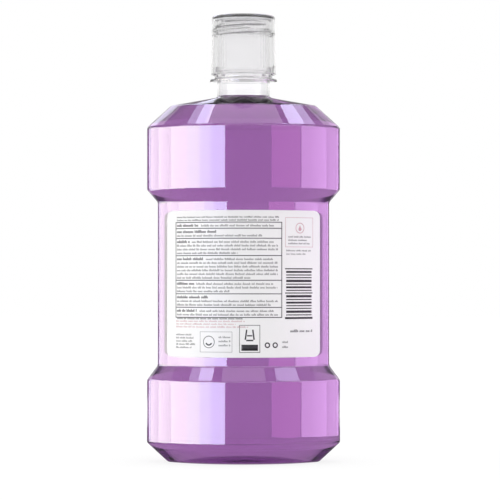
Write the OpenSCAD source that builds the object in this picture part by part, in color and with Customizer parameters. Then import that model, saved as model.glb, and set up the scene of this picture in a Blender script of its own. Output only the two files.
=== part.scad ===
// Clear mouthwash bottle: an oval body with a drawn-in waist for the labels,
// a tall round neck, and a clear dosing cap that screws over the whole neck.
// The side that carries the back label faces -Y, and the bottle stands on z = 0.

/* [Body] */
// Width of the two full-width blocks, side to side
body_w = 111; // [99:0.5:123]
// Depth of the two full-width blocks, front to back
body_d = 74.6; // [68:0.1:83]
// Radius of the tight curve at each side
side_r = 16; // [13:0.1:19]
// Wall thickness of the blown body
wall = 0.7; // [0.5:0.1:1.2]
// How far the waist is drawn in all round
waist_inset = 6.2; // [3:0.1:8]
// How far the rim of the shoulder lies inside the blocks
rim_inset = 13.9; // [11:0.1:16]
// How far the foot lies inside the blocks
foot_inset = 12.1; // [9:0.1:14]
// Height of the chamfer above the foot
foot_h = 11.2; // [8:0.1:14]
// Height of the lower block
lower_block_h = 35.8; // [26:0.1:46]
// Height of the slope between the lower block and the waist
lower_slope_h = 8.4; // [6:0.1:11]
// Height of the straight waist
waist_h = 93.5; // [88:0.5:112]
// Height of the slope between the waist and the upper block
upper_slope_h = 7.2; // [5:0.1:10]
// Height of the upper block
upper_block_h = 36; // [26:0.1:46]
// Height of the chamfer below the shoulder's rim
shoulder_h = 12.5; // [9:0.1:16]
// Rise of the shoulder's shallow cone from its rim to the neck
deck_rise = 4.3; // [2.5:0.1:6]
// Radius that rounds each edge of the body
edge_r = 2.2; // [1:0.1:3]

/* [Foot] */
// Width of the flat ring that the bottle stands on
land_w = 4.5; // [3:0.25:6]
// Height of the pushed-up middle of the foot
push_up_h = 6; // [3:0.25:8]

/* [Neck] */
// Outer radius of the neck
neck_r = 15.1; // [14:0.05:16]
// Inner radius of the neck, which is the pouring bore
bore_r = 13.2; // [11:0.05:13.6]
// Height of the neck from the shoulder to the lip
neck_h = 44.4; // [42:0.1:49]
// Radius of the fillet where the neck meets the shoulder
neck_fillet_r = 1; // [0.6:0.1:1.1]
// Radius of the transfer ring
ring_r = 19.3; // [18.4:0.05:21]
// Thickness of the transfer ring
ring_t = 1.5; // [1:0.1:2.2]
// Height of the transfer ring's underside above the shoulder
ring_up = 9.2; // [6:0.1:9.7]
// Distance that the bead below the cap stands out from the neck
bead_out = 1.45; // [0.8:0.05:1.6]
// Height of the bead
bead_h = 3.1; // [2:0.1:3.5]
// Gap between the transfer ring and the bead
bead_gap = 0.7; // [0.4:0.1:1]
// Size of the small chamfers on the ring, the bead and the lip
neck_ease = 0.4; // [0.2:0.05:0.45]

/* [Thread] */
// Rise of the thread in one turn
thread_pitch = 4.233; // [3.6:0.001:4.6]
// Number of turns on the neck
thread_turns = 1.35; // [1:0.05:1.6]
// Distance that the thread stands out from the neck
thread_out = 1.2; // [0.9:0.05:1.4]
// Width of the thread at the neck
thread_root_w = 2.2; // [1.8:0.05:2.4]
// Width of the thread along its crest
thread_crest_w = 1; // [0.7:0.05:1.3]
// Distance from the lip down to the middle of the thread's upper end
thread_drop = 2.1; // [1.8:0.05:2.5]

/* [Cap] */
// Outer radius of the cap at its closed top
cap_top_r = 18.1; // [18:0.05:19.5]
// Outer radius of the cap at its open end
cap_open_r = 18.75; // [18.6:0.05:20]
// Height of the cap
cap_h = 33.7; // [31:0.1:34.2]
// Wall thickness of the cap's skirt
cap_wall = 1; // [0.8:0.05:1.1]
// Thickness of the cap's closed top
cap_top_t = 1.8; // [1.2:0.1:2.4]
// Radius of the rounded edge at the cap's closed top
cap_edge_r = 1.3; // [0.8:0.1:1.6]
// Height of the threaded zone inside the cap, from its closed end
cap_thread_zone_h = 9.4; // [8.8:0.1:12]
// Number of turns inside the cap
cap_thread_turns = 1; // [0.75:0.05:1.25]
// Width of the cap's thread at the wall
cap_thread_root_w = 1.6; // [1.2:0.05:1.8]
// Width of the cap's thread along its crest
cap_thread_crest_w = 0.8; // [0.6:0.05:1]
// Clearance between the neck and what lies round it in the cap
cap_clear = 0.35; // [0.3:0.01:0.45]
// Number of grip ribs on each of the cap's two squeeze faces
rib_count = 13; // [7:1:15]
// Angle from one grip rib to the next
rib_step = 6.4; // [5:0.1:6.8]
// Radius of a grip rib
rib_r = 0.4; // [0.3:0.05:0.5]
// Distance that a grip rib stands out from the cap
rib_out = 0.22; // [0.15:0.01:0.28]
// Height at each end of the cap that the ribs leave smooth
rib_margin = 2.6; // [2:0.1:4]
// Size of the small chamfer round the cap's open end
cap_ease = 0.3; // [0.15:0.05:0.35]
// Angle by which the cap's thread ends short of the neck's thread
cap_thread_short_deg = 40; // [20:5:60]
// Thickness of the seal disc under the cap's closed top
liner_t = 1; // [0.6:0.1:1.5]
// Clearance round the seal disc
liner_clear = 0.4; // [0.3:0.05:0.6]

/* [Child lock] */
// Width of each lock lug, measured round the neck in degrees
lug_deg = 12; // [8:0.5:16]
// Height that a lug on the neck reaches above the cap's open end
lug_up = 4.4; // [3:0.1:6]
// Distance that a lug inside the cap stands in from the skirt
cap_lug_in = 0.45; // [0.35:0.01:0.5]
// Clearance between the lugs when the skirt is squeezed
lug_clear = 0.3; // [0.25:0.01:0.35]
// Angle between a lug in the cap and the lug on the neck that stops it
lug_gap_deg = 3; // [2:0.5:6]

/* [Filling] */
// Depth of the liquid's surface below the foot of the neck
fill_drop = 0.6; // [0.3:0.1:1.2]
// Clearance between the liquid and the wall, so that the solids stay apart
fill_clear = 0.05; // [0.03:0.01:0.1]

/* [Labels] */
// Width of a label, measured straight across
label_w = 87.2; // [72:0.2:89]
// Height of a label
label_h = 83.2; // [70:0.2:86]
// Radius of a label's corners
label_corner_r = 3.5; // [2:0.1:6]
// Thickness of the label film with its adhesive
label_t = 0.15; // [0.1:0.01:0.25]
// Clearance between a label and the bottle's wall
label_clear = 0.04; // [0.03:0.01:0.08]

/* [Hidden] */
$fn = 96;

// Steps along each big face, each side curve and each rounded edge of the body
face_steps = 20;
side_steps = 6;
edge_steps = 2;
// Largest share of the line between two edges that one rounded edge takes
edge_share = 0.45;
// Shares of the way up the shoulder's cone at which its inside has a ring of points
deck_shares = [0.25, 0.5, 0.75];
// Least share of the cone that lies between the liquid's surface and the ring below it
fill_share = 0.05;
// Shares of the way in at which the pushed-up foot has a ring, and how steeply it starts to rise
dome_shares = [0, 0.12, 0.35, 0.65];
dome_power = 2.4;
// Degrees in one step of a thread, steps over which a thread fades out, and the size of its tip in steps
thread_step = 12;
fade_steps = 2;
fade_tip = 0.3;
// Degrees in one step of a small rounded edge on the neck and the cap
edge_step_deg = 15;
// Sides of a grip rib
rib_sides = 24;
// Depth by which a piece that is fused to a wall reaches into it
bite = 0.4;
// Distance that a cut runs past what it cuts
over = 1;
// Least side radius of an outline that is drawn far in
least_side_r = 7;
// Width of the flat collar between the neck's fillet and the shoulder
collar_w = 0.2;

// Heights of the body's edges
z_lower_block = foot_h;
z_lower_slope = z_lower_block + lower_block_h;
z_waist = z_lower_slope + lower_slope_h;
z_upper_slope = z_waist + waist_h;
z_upper_block = z_upper_slope + upper_slope_h;
z_shoulder = z_upper_block + upper_block_h;
z_rim = z_shoulder + shoulder_h;
z_neck = z_rim + deck_rise;
z_lip = z_neck + neck_h;

// Heights and radii of the neck's finish
z_ring = z_neck + ring_up;
z_bead = z_ring + ring_t + bead_gap;
bead_r = neck_r + bead_out;
throat_r = bore_r + bite;
thread_r = neck_r + thread_out;
z_thread_end = z_lip - thread_drop;
z_thread_start = z_thread_end - thread_turns * thread_pitch;
// The thread's angle at its lower end, so that it crosses the middle of the -Y side low down
thread_start_deg = 200;

// Heights and radii of the cap
z_cap_inside = z_lip + liner_t;
z_cap_top = z_cap_inside + cap_top_t;
z_cap_open = z_cap_top - cap_h;
cap_thread_wall_r = thread_r + cap_clear;
cap_thread_r = neck_r + cap_clear;
z_thread_wall = z_cap_inside - cap_thread_zone_h;
draft_deg = atan2(cap_open_r - cap_top_r, cap_h);
function cap_outer_r(z) = cap_top_r + (z_cap_top - z) * tan(draft_deg);
function cap_inner_r(z) = cap_outer_r(z) - cap_wall;
// The cap's thread lies half a pitch below the neck's thread, and ends short of the same end
cap_thread_end_deg = thread_start_deg + 360 * thread_turns - cap_thread_short_deg;
cap_thread_start_deg = cap_thread_end_deg - 360 * cap_thread_turns;
function thread_z(angle) = z_thread_start + thread_pitch * (angle - thread_start_deg) / 360;

// The lugs
z_lug_top = z_cap_open + lug_up;
cap_lug_r = cap_inner_r(z_lug_top) - cap_lug_in;
neck_lug_r = cap_lug_r - lug_clear;

// The body's outline at a given inset: two big arcs, and a tight arc at each side
function outline(inset) =
    let (a = body_w / 2 - inset, b = body_d / 2 - inset,
         r = max(side_r - inset, least_side_r),
         big = (pow(a - r, 2) + b * b - r * r) / (2 * (b - r)),
         off = big - b,
         half = atan2(a - r, off))
    concat(
        arc_points([0, off], big, -90 - half, -90 + half, face_steps),
        arc_points([a - r, 0], r, half - 90, 90 - half, side_steps),
        arc_points([0, -off], big, 90 - half, 90 + half, face_steps),
        arc_points([r - a, 0], r, 90 + half, 270 - half, side_steps));

// Points along an arc, without its last one
function arc_points(middle, r, from, to, steps) =
    [for (i = [0 : steps - 1])
        let (t = from + (to - from) * i / steps)
        middle + r * [cos(t), sin(t)]];

// Radius of the waist's big face at a label, and how far its middle lies behind the axis
waist_a = body_w / 2 - waist_inset;
waist_b = body_d / 2 - waist_inset;
waist_side_r = max(side_r - waist_inset, least_side_r);
waist_face_r = (pow(waist_a - waist_side_r, 2) + waist_b * waist_b - pow(waist_side_r, 2))
    / (2 * (waist_b - waist_side_r));
waist_face_off = waist_face_r - waist_b;
z_label = z_waist + waist_h / 2;

// A ring of points at one height, from the body's outline
function body_ring(inset, z) = [for (p = outline(inset)) [p.x, p.y, z]];

// A round ring of points that matches the body's outline point by point
function round_ring(r, z) =
    [for (p = outline(rim_inset)) let (t = atan2(p.y, p.x)) [r * cos(t), r * sin(t), z]];

// A short curve that rounds the corner at q between p and s
function rounded(p, q, s, r) =
    let (u = (p - q) / norm(p - q), v = (s - q) / norm(s - q),
         reach = min(r / tan(acos(u * v) / 2), edge_share * norm(p - q), edge_share * norm(s - q)))
    [for (i = [0 : edge_steps])
        let (t = i / edge_steps)
        pow(1 - t, 2) * (q + reach * u) + 2 * t * (1 - t) * q + t * t * (q + reach * v)];

// The corner at q between p and s, moved so that both its lines lie skin further inside the body
function moved_in(p, q, s, skin) =
    let (u = (q - p) / norm(q - p), v = (s - q) / norm(s - q),
         n1 = [u.y, -u.x], n2 = [v.y, -v.x])
    q + skin * (n1 + n2) / (1 + n1 * n2);

// The corners of the body's side seen edge on, as points of [inset, z]
side_corners = [
    [foot_inset + land_w, 0],
    [foot_inset, 0],
    [0, z_lower_block],
    [0, z_lower_slope],
    [waist_inset, z_waist],
    [waist_inset, z_upper_slope],
    [0, z_upper_block],
    [0, z_shoulder],
    [rim_inset, z_rim],
    [body_w / 2 - neck_r, z_neck]];

// The body's side with its edges rounded, for a surface that lies skin inside it
function side_profile(skin, r) =
    let (c = side_corners, last = len(c) - 1,
         line = concat(
             [c[0] + [0, skin]],
             [for (k = [1 : last - 1]) moved_in(c[k - 1], c[k], c[k + 1], skin)],
             [c[last] - [0, skin]]))
    [for (k = [1 : last - 1]) each rounded(line[k - 1], line[k], line[k + 1], r)];

// Rings of the pushed-up middle of the foot, from its edge inwards: each is rounder than the last
function dome_rings(skin) =
    let (a = body_w / 2 - foot_inset - land_w, b = body_d / 2 - foot_inset - land_w)
    [for (t = dome_shares)
        [for (p = outline(foot_inset + land_w))
            let (angle = atan2(p.y / b, p.x / a),
                 q = (1 - t) * ((1 - t) * p + t * [a * cos(angle), b * sin(angle)]))
            [q.x, q.y, skin + push_up_h * (1 - pow(1 - t, dome_power))]]];

// Rings of the shoulder's shallow cone inside the wall, at the given shares of the way to the throat
function deck_rings(skin, shares) =
    let (profile = side_profile(skin, edge_r), q = profile[len(profile) - 1],
         rim = body_ring(q.x, q.y), throat = round_ring(throat_r, z_neck - skin))
    [for (t = shares) [for (i = [0 : len(rim) - 1]) (1 - t) * rim[i] + t * throat[i]]];

function reversed(list) = [for (i = [len(list) - 1 : -1 : 0]) list[i]];

// A closed skin through rings of points, each with as many points, closed by a point at each end.
// Each four-sided patch is cut from its lower ring to the next point of its upper ring, so that skins
// one inside the other keep their distance.
module loft(first, rings, last) {
    n = len(rings[0]);
    final = len(rings) * n + 1;
    points = concat([first], [for (ring = rings) each ring], [last]);
    polyhedron(points, concat(
        [for (i = [0 : n - 1]) [0, 1 + i, 1 + (i + 1) % n]],
        [for (k = [0 : len(rings) - 2], i = [0 : n - 1])
            let (next = (i + 1) % n,
                 a = 1 + k * n + i, b = a + n,
                 a_next = 1 + k * n + next, b_next = a_next + n,
                 rises = rings[k + 1][0].z > rings[k][0].z)
            each rises ? [[a, b, b_next], [a, b_next, a_next]] : [[a, b, a_next], [b, b_next, a_next]]],
        [for (i = [0 : n - 1])
            [final - n + i, final, final - n + (i + 1) % n]]));
}

// A helical thread: its section runs from root_r to crest_r, and fades towards root_r at both ends
module thread(root_r, crest_r, root_w, crest_w, from, turns, drop) {
    steps = round(360 * turns / thread_step);
    function section(i) =
        let (angle = from + 360 * turns * i / steps,
             fade = min(1, (fade_tip + min(i, steps - i)) / (fade_tip + fade_steps)),
             top = root_r + (crest_r - root_r) * fade,
             z = thread_z(angle) - drop)
        [for (q = [[root_r, -root_w / 2], [top, -crest_w / 2], [top, crest_w / 2], [root_r, root_w / 2]])
            [q.x * cos(angle), q.x * sin(angle), z + q.y]];
    outwards = crest_r > root_r;
    faces = concat(
        [[0, 1, 2], [0, 2, 3]],
        [for (i = [0 : steps - 1], j = [0 : 3])
            let (a = 4 * i + j, b = 4 * i + (j + 1) % 4)
            each [[a, a + 4, b + 4], [a, b + 4, b]]],
        [[4 * steps, 4 * steps + 2, 4 * steps + 1], [4 * steps, 4 * steps + 3, 4 * steps + 2]]);
    polyhedron(
        [for (i = [0 : steps]) each section(i)],
        [for (f = faces) outwards ? reversed(f) : f]);
}

// A block that follows a circle, between two radii, two heights and two angles
module ring_block(r1, r2, z1, z2, from, wide) {
    rotate([0, 0, from])
        rotate_extrude(angle = wide)
            translate([r1, z1])
                square([r2 - r1, z2 - z1]);
}

// The blown body from its foot to the flat ring that the neck grows from
module blown_body() {
    collar_r = neck_r + neck_fillet_r + collar_w;
    outer = concat(
        reversed(dome_rings(0)),
        [for (q = side_profile(0, edge_r)) body_ring(q.x, q.y)],
        [round_ring(collar_r, z_neck)]);
    inner = concat(
        [round_ring(throat_r, z_neck)],
        deck_rings(wall, reversed(concat(deck_shares, [1]))),
        [for (q = reversed(side_profile(wall, edge_r))) body_ring(q.x, q.y)],
        dome_rings(wall));
    loft([0, 0, push_up_h], concat(outer, inner), [0, 0, push_up_h + wall]);
}

// The moulded neck: fillet, transfer ring, bead and lip, in one turned piece
module neck_tube() {
    lip_ease = min(neck_ease, (neck_r - bore_r) / 3);
    rotate_extrude()
        polygon(concat(
            [[bore_r, z_neck - wall / 2], [neck_r + neck_fillet_r, z_neck - wall / 2]],
            [for (t = [270 : -edge_step_deg : 180])
                [neck_r + neck_fillet_r * (1 + cos(t)), z_neck + neck_fillet_r * (1 + sin(t))]],
            [[neck_r, z_ring], [ring_r - neck_ease, z_ring], [ring_r, z_ring + neck_ease],
             [ring_r, z_ring + ring_t - neck_ease], [ring_r - neck_ease, z_ring + ring_t],
             [neck_r, z_ring + ring_t],
             [neck_r, z_bead - bead_gap / 2], [bead_r - neck_ease, z_bead], [bead_r, z_bead + neck_ease],
             [bead_r, z_bead + bead_h - bead_out], [neck_r, z_bead + bead_h],
             [neck_r, z_lip - lip_ease], [neck_r - lip_ease, z_lip], [bore_r + lip_ease, z_lip],
             [bore_r, z_lip - lip_ease]]));
}

// The bottle: body, neck, thread and the two lugs that lock the cap
module bottle() {
    color([0.80, 0.62, 0.90, 0.55])
        union() {
            blown_body();
            neck_tube();
            thread(neck_r - bite, thread_r, thread_root_w, thread_crest_w,
                thread_start_deg, thread_turns, 0);
            for (side = [0, 180])
                ring_block(neck_r - bite, neck_lug_r, z_bead + bead_h / 2, z_lug_top,
                    side - lug_deg / 2, lug_deg);
        }
}

// The liquid: the bottle's inside up to the fill level
module mouthwash() {
    skin = wall + fill_clear;
    z_fill = z_neck - wall - fill_drop;
    profile = side_profile(skin, edge_r);
    z_last = profile[len(profile) - 1].y;
    filled = (z_fill - z_last) / (z_neck - skin - z_last);
    color([0.55, 0.25, 0.65, 0.9])
        loft([0, 0, push_up_h + skin],
            concat(
                reversed(dome_rings(skin)),
                [for (q = profile) body_ring(q.x, q.y)],
                deck_rings(skin, [for (t = deck_shares) if (t < filled - fill_share) t]),
                deck_rings(skin, [filled])),
            [0, 0, z_fill]);
}

// A label: a thin rounded sheet wrapped on the waist's big face on the -Y side
module label() {
    r = waist_face_r + label_clear;
    intersection() {
        translate([0, waist_face_off, z_label - label_h / 2])
            difference() {
                cylinder(r = r + label_t, h = label_h);
                translate([0, 0, -over])
                    cylinder(r = r, h = label_h + 2 * over);
            }
        translate([0, 0, z_label])
            rotate([90, 0, 0])
                linear_extrude(height = body_d)
                    rounded_sheet(label_w, label_h, label_corner_r);
    }
}

// A flat rectangle with round corners, centred
module rounded_sheet(w, h, r) {
    square([w, h - 2 * r], center = true);
    square([w - 2 * r, h], center = true);
    for (x = [-1, 1], y = [-1, 1])
        translate([x * (w / 2 - r), y * (h / 2 - r)])
            circle(r = r);
}

module back_label() {
    color("white") label();
}

module front_label() {
    color("white") rotate([0, 0, 180]) label();
}

// The grip ribs of one squeeze face, which is centred on -Y
module grip_ribs() {
    low = z_cap_open + rib_margin;
    high = z_cap_top - rib_margin;
    for (i = [0 : rib_count - 1])
        rotate([0, 0, -90 + rib_step * (i - (rib_count - 1) / 2)])
            translate([cap_outer_r(low) + rib_out - rib_r, 0, low])
                rotate([0, -draft_deg, 0])
                    cylinder(r = rib_r, h = (high - low) / cos(draft_deg), $fn = rib_sides);
}

// The dosing cap: a clear cup with a thread near its closed end and a deep skirt
module dosing_cap() {
    edge_middle_r = cap_outer_r(z_cap_top - cap_edge_r) - cap_edge_r;
    color([0.93, 0.95, 0.96, 0.45])
        union() {
            rotate_extrude()
                polygon(concat(
                    [[0, z_cap_inside], [cap_thread_wall_r, z_cap_inside],
                     [cap_thread_wall_r, z_thread_wall],
                     [cap_inner_r(z_thread_wall), z_thread_wall - cap_clear],
                     [cap_inner_r(z_cap_open), z_cap_open],
                     [cap_open_r - cap_ease, z_cap_open],
                     [cap_outer_r(z_cap_open + cap_ease), z_cap_open + cap_ease]],
                    [for (t = [0 : edge_step_deg : 90])
                        [edge_middle_r + cap_edge_r * cos(t), z_cap_top - cap_edge_r * (1 - sin(t))]],
                    [[0, z_cap_top]]));
            thread(cap_thread_wall_r + bite, cap_thread_r, cap_thread_root_w, cap_thread_crest_w,
                cap_thread_start_deg, cap_thread_turns, thread_pitch / 2);
            for (side = [0, 180])
                ring_block(cap_lug_r, cap_inner_r(z_lug_top) + bite, z_cap_open + cap_ease, z_lug_top,
                    side - lug_deg / 2 - lug_gap_deg - lug_deg, lug_deg);
            for (side = [0, 180])
                rotate([0, 0, side])
                    grip_ribs();
        }
}

// The seal disc between the neck's lip and the cap's closed top
module cap_liner() {
    color("ghostwhite")
        translate([0, 0, z_lip])
            cylinder(r = cap_thread_wall_r - liner_clear, h = liner_t);
}

bottle();
mouthwash();
back_label();
front_label();
dosing_cap();
cap_liner();
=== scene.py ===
"""Looks of a clear oval mouthwash bottle: body, liquid, labels with their print, dosing cap and studio.

Sizes of the pieces are in millimetres, as on the drawing of the part, and a mesh is scaled to metres when
it is finished. Sizes of the studio are in metres.
"""

import logging
import math
import random
from dataclasses import dataclass
from enum import Enum

import bmesh
import bpy
from mathutils import Matrix, Vector


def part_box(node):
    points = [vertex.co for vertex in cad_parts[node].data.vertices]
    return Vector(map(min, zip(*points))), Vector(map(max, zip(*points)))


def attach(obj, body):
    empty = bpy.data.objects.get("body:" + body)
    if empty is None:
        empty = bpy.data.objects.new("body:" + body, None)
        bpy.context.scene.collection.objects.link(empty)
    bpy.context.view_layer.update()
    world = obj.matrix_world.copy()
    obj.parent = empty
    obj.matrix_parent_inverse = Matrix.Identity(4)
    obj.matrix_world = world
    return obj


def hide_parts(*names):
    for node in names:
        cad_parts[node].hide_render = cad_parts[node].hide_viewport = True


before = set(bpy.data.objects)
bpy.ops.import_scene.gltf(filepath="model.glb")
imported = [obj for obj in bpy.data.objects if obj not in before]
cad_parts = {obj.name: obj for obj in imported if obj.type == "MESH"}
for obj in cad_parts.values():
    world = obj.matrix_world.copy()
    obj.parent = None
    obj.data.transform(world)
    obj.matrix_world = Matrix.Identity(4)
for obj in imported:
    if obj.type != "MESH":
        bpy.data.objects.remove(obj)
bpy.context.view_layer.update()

LOG = logging.getLogger("mouthwash_bottle")
MM = 0.001
# The liquid's face layer that marks its painted shade: faces with it take a darker tint.
PAINTED_SHADE_MARK = "rim"

Pair = tuple[float, float]
Colour = tuple[float, float, float]
Mesh = bmesh.types.BMesh
Vert = bmesh.types.BMVert
Edge = bmesh.types.BMEdge
Loop = list[Edge]
Node = bpy.types.Node
Socket = bpy.types.NodeSocket
Material = bpy.types.Material
Piece = bpy.types.Object

WHITE: Colour = (1.0, 1.0, 1.0)


class Body(Enum):
    """The moving bodies that new pieces ride on."""

    CONTAINER = "container"
    CLOSURE = "closure"


class Slot(Enum):
    """The names of the material slots of the record."""

    CLEAR_BOTTLE = "clear_bottle"
    PURPLE_LIQUID = "purple_liquid"
    LABEL_FILM = "label_film"
    CLEAR_CAP = "clear_cap"


class Side(Enum):
    """The two faces of the waist that carry a label: the value turns the back one into place."""

    BACK = 0.0
    FRONT = 180.0


# Finishes


class Graph:
    """The node tree of a material or of the world, with short ways to add and join nodes."""

    NOISE_SPAN: Pair = (0.3, 0.7)

    def __init__(self, owner: Material | bpy.types.World, output: str = "ShaderNodeOutputMaterial") -> None:
        """Starts an empty tree.

        Args:
            owner: The material or world.
            output: Blender's name of its output node.
        """
        self.owner = owner
        owner.use_nodes = True
        self.tree = owner.node_tree
        self.tree.nodes.clear()
        self.output = self.add(output)

    def add(self, kind: str, inputs: dict | None = None, **settings: object) -> Node:
        """Adds a node.

        Args:
            kind: Blender's name of the node type.
            inputs: Values of its sockets, by name or number.
            **settings: Its other properties.

        Returns:
            The new node.
        """
        node = self.tree.nodes.new(kind)
        for key, value in settings.items():
            setattr(node, key, value)
        for key, value in (inputs or {}).items():
            node.inputs[key].default_value = value
        return node

    def join(self, source: Socket, target: Socket) -> None:
        """Links one socket to another."""
        self.tree.links.new(source, target)

    def surface(self, inputs: dict) -> Node:
        """Adds the surface's shader and joins it to the output.

        Args:
            inputs: Values of its sockets, by name.

        Returns:
            The shader.
        """
        shader = self.add("ShaderNodeBsdfPrincipled", inputs)
        self.join(shader.outputs["BSDF"], self.output.inputs["Surface"])
        return shader

    def inside(self, colour: Colour, density: float) -> None:
        """Lets the inside of the piece absorb light.

        Args:
            colour: Share of each colour that the absorption spares.
            density: Strength of the absorption, per metre.
        """
        volume = self.add("ShaderNodeVolumeAbsorption", {"Color": (*colour, 1), "Density": density})
        self.join(volume.outputs["Volume"], self.output.inputs["Volume"])

    def place(self, stretch: Colour = WHITE) -> Socket:
        """Gives the piece's own coordinates, in metres, stretched along each axis.

        Args:
            stretch: Factor along x, y and z.

        Returns:
            The vector socket.
        """
        spot = self.add("ShaderNodeTexCoord")
        mapping = self.add("ShaderNodeMapping", {"Scale": stretch})
        self.join(spot.outputs["Object"], mapping.inputs["Vector"])
        return mapping.outputs["Vector"]

    def noise(self, cells: float, detail: float, stretch: Colour = WHITE) -> Socket:
        """Gives a noise value that varies over the piece.

        Args:
            cells: Cells per metre.
            detail: Octaves of the noise.
            stretch: Factor along x, y and z.

        Returns:
            The value socket, from 0 to 1.
        """
        node = self.add("ShaderNodeTexNoise", {"Scale": cells, "Detail": detail})
        self.join(self.place(stretch), node.inputs["Vector"])
        return node.outputs["Fac"]

    def ranged(self, value: Socket, reach: Pair, span: Pair = NOISE_SPAN) -> Socket:
        """Maps a value to a new range.

        Args:
            value: The value to map.
            reach: Ends of the new range.
            span: Ends of the old range.

        Returns:
            The mapped value.
        """
        ends = {"From Min": span[0], "From Max": span[1], "To Min": reach[0], "To Max": reach[1]}
        node = self.add("ShaderNodeMapRange", ends)
        self.join(value, node.inputs["Value"])
        return node.outputs["Result"]

    def combined(self, operation: str, first: Socket, second: Socket) -> Socket:
        """Combines two values.

        Args:
            operation: Blender's name of the operation.
            first: The first value.
            second: The second value.

        Returns:
            The result.
        """
        node = self.add("ShaderNodeMath", operation=operation)
        self.join(first, node.inputs[0])
        self.join(second, node.inputs[1])
        return node.outputs[0]

    def relief(self, height: Socket, depth_mm: float, below: Socket | None = None) -> Socket:
        """Turns a height into a surface normal.

        Args:
            height: The height, from 0 to 1.
            depth_mm: Depth of the relief in millimetres.
            below: A normal that this relief lies on.

        Returns:
            The normal socket.
        """
        node = self.add("ShaderNodeBump", {"Strength": 1.0, "Distance": depth_mm * MM})
        self.join(height, node.inputs["Height"])
        if below is not None:
            self.join(below, node.inputs["Normal"])
        return node.outputs["Normal"]

    def mixed(self, share: Socket, first: Colour, second: Colour) -> Socket:
        """Mixes two colours.

        Args:
            share: Share of the second colour.
            first: Colour where the share is 0.
            second: Colour where the share is 1.

        Returns:
            The colour socket.
        """
        node = self.add("ShaderNodeMix", data_type="RGBA")
        node.inputs["A"].default_value = (*first, 1)
        node.inputs["B"].default_value = (*second, 1)
        self.join(share, node.inputs["Factor"])
        return node.outputs["Result"]


def new_graph(name: str) -> Graph:
    """Starts a material of this name."""
    return Graph(bpy.data.materials.new(name))


@dataclass(frozen=True)
class ClearPlastic:
    """A clear moulded plastic with slight haze, the soft waves of its moulding and a grey depth.

    The smoke is how much light it takes away per metre, and the milk is the share of its surface that
    scatters light.
    """

    name: str
    tint: Colour = (0.99, 0.985, 0.995)
    ior: float = 1.575
    smoke: float = 15
    spared: float = 0.5
    haze: Pair = (0.0, 0.01)
    haze_cells: float = 120
    wave_mm: float = 0.003
    wave_cells: float = 25
    stretch: Colour = (1, 1, 0.3)
    milk: float = 0.0

    def material(self) -> Material:
        """Builds the material."""
        g = new_graph(self.name)
        shader = g.surface({"Base Color": (*self.tint, 1), "IOR": self.ior, "Transmission Weight": 1 - self.milk})
        waves = g.noise(self.wave_cells, 1, self.stretch)
        g.join(g.relief(waves, self.wave_mm), shader.inputs["Normal"])
        g.join(g.ranged(g.noise(self.haze_cells, 3), self.haze), shader.inputs["Roughness"])
        g.inside((self.spared, self.spared, self.spared), self.smoke / (1 - self.spared))
        return g.owner


@dataclass(frozen=True)
class ColouredLiquid:
    """A clear coloured liquid, whose colour deepens with the length of the way through it.

    The faces that carry the rim's mark take a darker tint: painted shade, for the dark reflection under the
    surface.
    """

    name: str
    ior: float = 1.1
    tint: Colour = (0.488, 0.257, 0.549)
    # Painted shade: the darker tint of the liquid's front faces just under its surface.
    painted_shade_tint: Colour = (0.04, 0.0008, 0.05)
    absorbs: Colour = (5.05, 9.3, 4.2)
    density: float = 12
    ripple_mm: float = 0.002
    ripple_cells: float = 30
    haze: Pair = (0.0, 0.01)
    haze_cells: float = 60

    def material(self) -> Material:
        """Builds the material."""
        g = new_graph(self.name)
        shader = g.surface({"IOR": self.ior, "Transmission Weight": 1.0})
        # Painted shade: the marked faces take the darker tint in place of a dark reflection.
        rim = g.add("ShaderNodeAttribute", attribute_name=PAINTED_SHADE_MARK)
        g.join(g.mixed(rim.outputs["Fac"], self.tint, self.painted_shade_tint), shader.inputs["Base Color"])
        g.join(g.relief(g.noise(self.ripple_cells, 1), self.ripple_mm), shader.inputs["Normal"])
        g.join(g.ranged(g.noise(self.haze_cells, 2), self.haze), shader.inputs["Roughness"])
        g.inside(tuple(1 - a / self.density for a in self.absorbs), self.density)
        return g.owner


@dataclass(frozen=True)
class Satin:
    """A satin printing ink, or the film under it: mottled a little, with a fine grain.

    Each noise is given by its cells per metre and its octaves. The film also swells a little.
    """

    name: str
    first: Colour
    second: Colour
    mottle: Pair = (700, 3)
    roughness: Pair = (0.4, 0.55)
    gloss: Pair = (500, 2)
    ior: float = 1.45
    specular: float = 0.25
    grain_mm: float = 0.004
    grain: Pair = (2500, 2)
    grain_stretch: Colour = WHITE
    swell_mm: float = 0.0
    swell: Pair = (60, 1)

    def material(self) -> Material:
        """Builds the material."""
        g = new_graph(self.name)
        shader = g.surface({"IOR": self.ior, "Specular IOR Level": self.specular})
        mottle = g.ranged(g.noise(*self.mottle), (0, 1))
        g.join(g.mixed(mottle, self.first, self.second), shader.inputs["Base Color"])
        g.join(g.ranged(g.noise(*self.gloss), self.roughness), shader.inputs["Roughness"])
        normal = g.relief(g.noise(*self.grain, self.grain_stretch), self.grain_mm)
        if self.swell_mm:
            normal = g.relief(g.noise(*self.swell), self.swell_mm, normal)
        g.join(normal, shader.inputs["Normal"])
        return g.owner


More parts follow.
